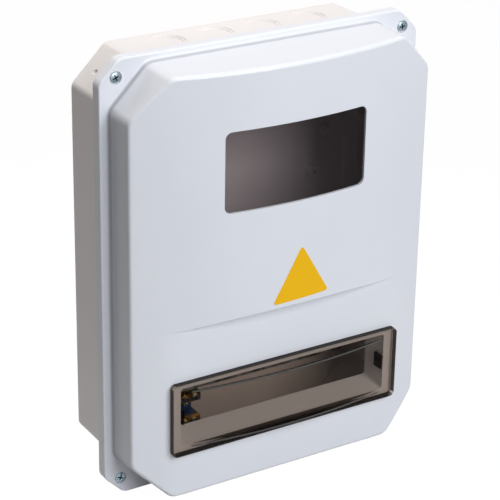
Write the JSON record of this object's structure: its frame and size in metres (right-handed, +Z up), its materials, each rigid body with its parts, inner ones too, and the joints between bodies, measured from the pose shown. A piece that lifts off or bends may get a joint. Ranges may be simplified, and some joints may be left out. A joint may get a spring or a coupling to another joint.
{
  "type": "electric meter box",
  "caption": "Wall-mounted plastic meter box with a crowned cover, a smoked meter window and a bow-fronted breaker lid.",
  "frame": {"origin": "centre of the wall-hole pattern on the back face, on the wall plane", "axes": "+X right as seen from the front, +Y into the wall, +Z up; the front faces -Y"},
  "size_m": [0.33, 0.1315, 0.42],
  "materials": {
    "cover_plastic": "satin moulded",
    "tray_plastic": "satin moulded",
    "smoked_plastic": "clear gloss, smoked",
    "seal_rubber": "soft",
    "zinc_steel": "bright zinc",
    "galvanised_steel": "galvanised",
    "bar_brass": "drawn",
    "green_insulator": "moulded",
    "blue_insulator": "moulded",
    "nylon": "moulded"
  },
  "bodies": {
    "base": {"back_box": "tray_plastic", "din_rail": "galvanised_steel", "rail_bracket_left": "galvanised_steel", "rail_bracket_right": "galvanised_steel", "bracket_screws": "zinc_steel", "rail_screws": "zinc_steel", "earth_bar": "bar_brass", "earth_bar_screws": "zinc_steel", "earth_holders": "green_insulator", "earth_holder_screws": "zinc_steel", "neutral_bar": "bar_brass", "neutral_bar_screws": "zinc_steel", "neutral_holders": "blue_insulator", "neutral_holder_screws": "zinc_steel"},
    "cover": {"front_cover": "cover_plastic", "cover_gasket": "seal_rubber", "meter_window": "smoked_plastic", "cover_screws": "zinc_steel", "screw_retainers": "nylon"},
    "lid": {"breaker_lid": "smoked_plastic"}
  },
  "joints": [
    {"name": "cover_off", "type": "slide", "parent": "base", "child": "cover", "axis": [0, -1, 0], "range_m": [0, 0.12]},
    {"name": "lid_off", "type": "slide", "parent": "cover", "child": "lid", "axis": [0, -1, 0], "range_m": [0, 0.05]}
  ]
}
